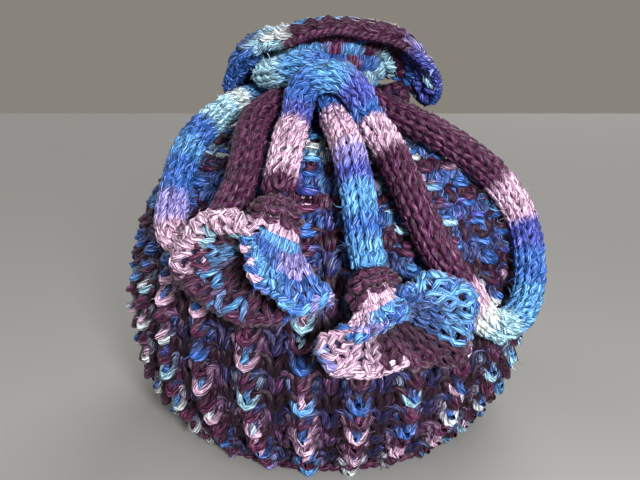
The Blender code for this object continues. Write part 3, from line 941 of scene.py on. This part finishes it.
class CordSurface:
    """The face of a round cord: across is the turn in wales, up is in rows along it."""

    facing = 1

    def __init__(self, route):
        line = spline(route)
        run = along(line)
        self.length = run[-1]
        self.rows = int(self.length / CORD_ROW_HEIGHT)
        count = int(self.length / CORD_STEP)
        self.at = np.linspace(0, self.length, count)
        self.line = read_off(self.at, run, line)
        for _ in range(2):  # smoothed
            self.line[1:-1] = (self.line[:-2] + 2 * self.line[1:-1] + self.line[2:]) / 4
        tangent = unit(np.gradient(self.line, axis=0))
        side = np.zeros_like(tangent)
        side[0] = unit(np.cross(tangent[0], CORD_SEAM))
        for k in range(1, count):  # carried along without twist
            side[k] = unit(side[k - 1] - tangent[k] * (side[k - 1] @ tangent[k]))
        self.side, self.up = side, np.cross(tangent, side)
        self.row_height = self.length / self.rows

    def place(self, across, row):
        at = np.clip(np.asarray(row) * self.row_height, 0, self.length)
        turn = np.asarray(across) / CORD_WALES * math.tau
        side, up = read_off(at, self.at, self.side), read_off(at, self.at, self.up)
        out = np.cos(turn)[..., None] * side + np.sin(turn)[..., None] * up
        return read_off(at, self.at, self.line) + CORD_LOOP_RADIUS * out


def knit_cord(yarn, surface, dye):
    """One strand in loops round and round, as an i-cord is knitted, and its loose fibres."""
    count = surface.rows * CORD_WALES
    t = np.linspace(0, count, count * CORD_POINTS + 1)
    theta = (t - np.floor(t)) * math.tau
    jig = np.interp(t, np.arange(count + 1), rng.normal(0, 1, count + 1))
    across = t + 0.2 * np.sin(2 * theta) + 0.05 * jig
    up = np.clip(t / CORD_WALES - 0.74 * np.cos(theta) + 0.5, CORD_END, surface.rows - CORD_END)
    out = 0.35 - np.cos(2 * theta) + 0.12 * jig
    path, normal, _ = surface_at(surface, across, up, out)
    radius = 1.3 * (1 + 0.12 * np.abs(np.sin(theta))) * (1 + 0.04 * jig)
    yarn.add(path, normal, radius, dye(up * surface.row_height), CORD_POINTS)
    yarn.add_fuzz(int(CORD_FUZZ * surface.length))


# The cord's hollow core, in the near-black painted-shade material, dark between the stitches.
def make_cord_core(name, surface, material):
    rows = np.linspace(0, surface.rows, int(surface.length / 2.5))
    around = np.arange(0, CORD_WALES, 0.5)
    face = surface.place(*np.meshgrid(around, rows, indexing="ij"))
    middle = read_off(rows * surface.row_height, surface.at, surface.line)[None]
    outside = middle + (face - middle) * (CORD_CORE_RADIUS / CORD_LOOP_RADIUS)
    inside = middle + (outside - middle) * CORD_HOLLOW
    return grid_mesh(f"{name}_core", outside, inside, material, closed=True)


def make_cord(name, route, table, material, ground):
    surface = CordSurface(route)
    yarn = Yarn()
    knit_cord(yarn, surface, table_dye(table))
    stitches = yarn.make(f"{name}_stitches", material)
    core = make_cord_core(name, surface, ground)
    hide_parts(name)
    return core, stitches


class Bell:
    """A flower's petals, from the bud's top out to a wavy edge."""

    def __init__(self, spec):
        self.bud = np.array(spec["bud"], float)
        self.hangs = unit(np.array(spec["hangs"], float))
        looped = spline(spec["edge"], closed=True)
        looped = np.vstack([looped, looped[:1]])
        run = along(looped)
        at = np.linspace(0, run[-1], FLOWER_AROUND, endpoint=False)
        self.edge = read_off(at, run, looped)
        side = unit(np.cross(self.hangs, [0, 0, 1]))
        up = np.cross(side, self.hangs)
        out = self.edge - self.bud
        seen = np.unwrap(np.arctan2(out @ up, out @ side))
        turns = np.arange(FLOWER_AROUND) / FLOWER_AROUND * math.tau
        turns *= np.sign(seen[-1] - seen[0])
        turns += np.mean(seen - turns)
        self.out = np.outer(np.cos(turns), side) + np.outer(np.sin(turns), up)
        self.face = np.stack([self.ring(step / BELL_STEPS) for step in range(BELL_STEPS + 1)], axis=1)
        around = np.roll(self.face, -1, axis=0) - np.roll(self.face, 1, axis=0)
        normal = unit(np.cross(around, np.gradient(self.face, axis=1)))
        step = round(0.6 * BELL_STEPS)
        middle = self.face[:, step].mean(axis=0)
        self.sign = -np.sign(np.einsum("ij,ij->i", normal[:, step], middle - self.face[:, step]).sum())
        self.normal = self.sign * normal

    def ring(self, place):
        """The points round the bell at a place from 0, the bud's top, to 1, the edge."""
        turn = BUD_WRAP * min(place / BUD_SHARE, 1)
        on_bud = self.bud + FLOWER_BUD * (math.sin(turn) * self.out - math.cos(turn) * self.hangs)
        if place <= BUD_SHARE:
            return on_bud
        share = (place - BUD_SHARE) / (1 - BUD_SHARE)
        waist = self.bud + FLOWER_BUD * (self.out + WAIST_DROP * self.hangs)
        bend = waist + BELL_BEND * (self.edge - waist) + BELL_DROOP * self.hangs
        return (1 - share) ** 2 * on_bud + 2 * share * (1 - share) * bend + share**2 * self.edge


class BellSurface:
    """A bell's face with across in wales all round, and up in rows between two places on it."""

    def __init__(self, bell, wales, low, high, rows):
        self.bell, self.wales, self.low, self.high, self.rows = bell, wales, low, high, rows
        self.facing = bell.sign

    def place(self, across, row):
        grid = self.bell.face
        up = self.low + (self.high - self.low) * np.asarray(row) / self.rows
        a = (np.asarray(across, float) / self.wales % 1) * FLOWER_AROUND
        b = np.clip(up, 0, 1) * BELL_STEPS
        i, j = np.floor(a).astype(int), np.minimum(np.floor(b).astype(int), BELL_STEPS - 1)
        fa, fb = (a - i)[..., None], (b - j)[..., None]
        i, i2 = i % FLOWER_AROUND, (i + 1) % FLOWER_AROUND
        flat = (grid[i, j] * (1 - fa) + grid[i2, j] * fa) * (1 - fb) + (
            grid[i, j + 1] * (1 - fa) + grid[i2, j + 1] * fa
        ) * fb
        share = np.clip((b / BELL_STEPS - BUD_SHARE) / (1 - BUD_SHARE), 0, 1)
        ruffle = RUFFLE_SWING * share**1.5 * np.sin(math.tau * RUFFLES * a / FLOWER_AROUND)
        normal = self.bell.normal[i, j] * (1 - fa) + self.bell.normal[i2, j] * fa
        return flat + ruffle[..., None] * normal


BUD_TOP = 0.02  # where the bud's stitches begin
BUD_END = 0.95 * BUD_SHARE  # where they end and the petals' begin
OUTER_DEPTH, INNER_DEPTH = -1.0, -3.2  # of the petals' two faces
INNER_SHADED_SHARE = 0.3  # painted shade: the share of the dye's full brightness kept where the inner face lies deepest
RIM_DEPTH = -2.1
FLOWER_FUZZ = 850
FLOWER_GROUND = (1.6, 2.6)  # how deep its two sides lie


def knit_bud(yarn, bell, table):
    surface = BellSurface(bell, BUD_WALES, BUD_TOP, BUD_END, BUD_ROWS)
    dye = across_dye(table, BUD_WALES)
    for row in range(BUD_ROWS):
        knit_row(
            yarn, surface, row, np.arange(BUD_WALES) + 0.5, np.ones(BUD_WALES), (dye,), pair=False,
            radius=1.9, depth=-0.6, lean=0.14, tall=0.62, points=10, forward=1.0,
        )


def knit_petals(yarn, surface, colours):
    """Rows of knit stitches outside and of purl stitches inside."""
    last = PETAL_ROWS - 1
    for row in range(PETAL_ROWS):
        # painted shade: the inner face's colour is darker near the bud, where it lies deep
        inner_shaded_share = INNER_SHADED_SHARE + (1 - INNER_SHADED_SHARE) * row / last
        for which, purl, depth, light in (
            ("outer", 0.0, OUTER_DEPTH, 1.0), ("inner", 1.0, INNER_DEPTH, inner_shaded_share),
        ):
            tables = colours[which]
            dye = across_dye(tables[round(row * (len(tables) - 1) / last)], PETAL_WALES, strength=light)
            knit_row(
                yarn, surface, row, np.arange(PETAL_WALES) + 0.5, np.full(PETAL_WALES, purl), (dye,),
                pair=False, radius=1.7, depth=depth, lean=0.22, tall=0.72, points=9, forward=1.15,
                jitter=1.8, darken=0.6, inside=which == "inner",
            )


def add_flower_rim(yarn, bell, surface, tables):
    edge = spline(np.vstack([bell.edge, bell.edge[:1]]), steps=6)
    dyes = [across_dye(table, along(edge)[-1]) for table in tables]
    count = len(edge)
    across = np.linspace(0, PETAL_WALES, count)
    line, _, _ = surface_at(surface, across, np.full(count, PETAL_ROWS - 0.05), np.full(count, RIM_DEPTH))
    rope(yarn, line, unit(edge - bell.bud), dyes, radius=1.6, swing=1.35, pitch=6.4)


def make_flower(name, spec, colours, material, ground):
    bell = Bell(spec)
    yarn = Yarn()
    knit_bud(yarn, bell, colours["bud"])
    petals = BellSurface(bell, PETAL_WALES, BUD_END, 1.0, PETAL_ROWS)
    knit_petals(yarn, petals, colours)
    add_flower_rim(yarn, bell, petals, colours["rim"])
    yarn.add_fuzz(FLOWER_FUZZ)
    stitches = yarn.make(f"{name}_stitches", material)
    face, normal = bell.face[:, 1:], bell.normal[:, 1:]  # the bud's top is one point, so its ring is left out
    outer, inner = (face - depth * normal for depth in FLOWER_GROUND)
    shell = grid_mesh(f"{name}_ground", outer, inner, ground, closed=True)
    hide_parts(name)
    return shell, stitches


FLOWERS = {
    "flower_left": {
        "bud": "plum",
        "outer": (
            "pink 0.6 plum 0.7 pink",
            "sky 0.5 blue 0.75 sky",
            "pink 0.3 plum 0.5 blue 0.72 lilac 0.85 blue",
            "pink 0.3 plum 0.62 blue 0.85 sky",
            "pink 0.3 plum 0.62 blue 0.85 sky",
        ),
        "inner": (
            "plum",
            "plum 0.2 mint 0.3 plum 0.5 blue 0.6 plum",
            "mint 0.12 plum 0.2 sky 0.32 plum 0.6 blue",
            "pink 0.1 mint 0.2 wine 0.3 sky 0.38 plum 0.6 blue",
            "pink 0.28 plum 0.42 sky 0.46 plum 0.62 blue 0.8 sky",
        ),
        "rim": (
            "pink 0.3 plum 0.42 sky 0.46 plum 0.6 blue 0.78 sky 0.9 blue",
            "pink 0.27 plum 0.62 blue 0.72 lilac 0.82 blue 0.94 pink",
        ),
    },
    "flower_right": {
        "bud": "plum",
        "outer": (
            "pink 0.2 plum 0.8 pink",
            "sky 0.3 blue 0.6 pink",
            "blue 0.35 plum 0.62 pink 0.85 sky",
            "sky 0.3 plum 0.6 pink 0.8 lilac 0.9 blue",
            "sky 0.3 plum 0.6 pink 0.8 lilac 0.9 blue",
        ),
        "inner": (
            "plum",
            "blue 0.3 plum 0.8 blue",
            "blue 0.3 plum 0.6 pink 0.8 blue",
            "sky 0.3 plum 0.6 pink 0.8 blue",
            "sky 0.3 plum 0.6 pink 0.8 mint 0.9 blue",
        ),
        "rim": (
            "sky 0.1 blue 0.3 plum 0.58 pink 0.78 lilac 0.86 mint 0.92 blue",
            "blue 0.15 sky 0.32 plum 0.56 pink 0.82 blue 0.95 sky",
        ),
    },
}


def main():
    set_stage()
    rib_yarn = yarn_material("rib_yarn")
    cord_yarn = yarn_material("cord_yarn")
    flower_yarn = yarn_material("flower_yarn", 0.1)
    ground = shaded_ground_material("knit_ground_painted_shade")
    flowers = {}
    for name, spec in (("flower_left", LEFT_FLOWER), ("flower_right", RIGHT_FLOWER)):
        flowers[name] = make_flower(name, spec, FLOWERS[name], flower_yarn, ground)
    cords = [
        make_cord(name, route, table, cord_yarn, ground)
        for name, route, table, exit_point, flower in (
            ("drawstring", DRAWSTRING, DRAWSTRING_DYE, DRAWSTRING[-1], "flower_left"),
            ("drawstring_end", DRAWSTRING_END, DRAWSTRING_END_DYE, DRAWSTRING_END[0], "flower_right"),
        )
    ]
    for things, slot in ((cords, "variegated_cord_knit"), (flowers.values(), "variegated_flower_knit")):
        for piece in (piece for pieces in things for piece in pieces):
            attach(piece, "root")
    for side, start in (("back", 0), ("front", 180)):
        shell, made = make_panel(side, start, rib_yarn, ground)
        for piece in (shell, *made):
            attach(piece, "root")


main()
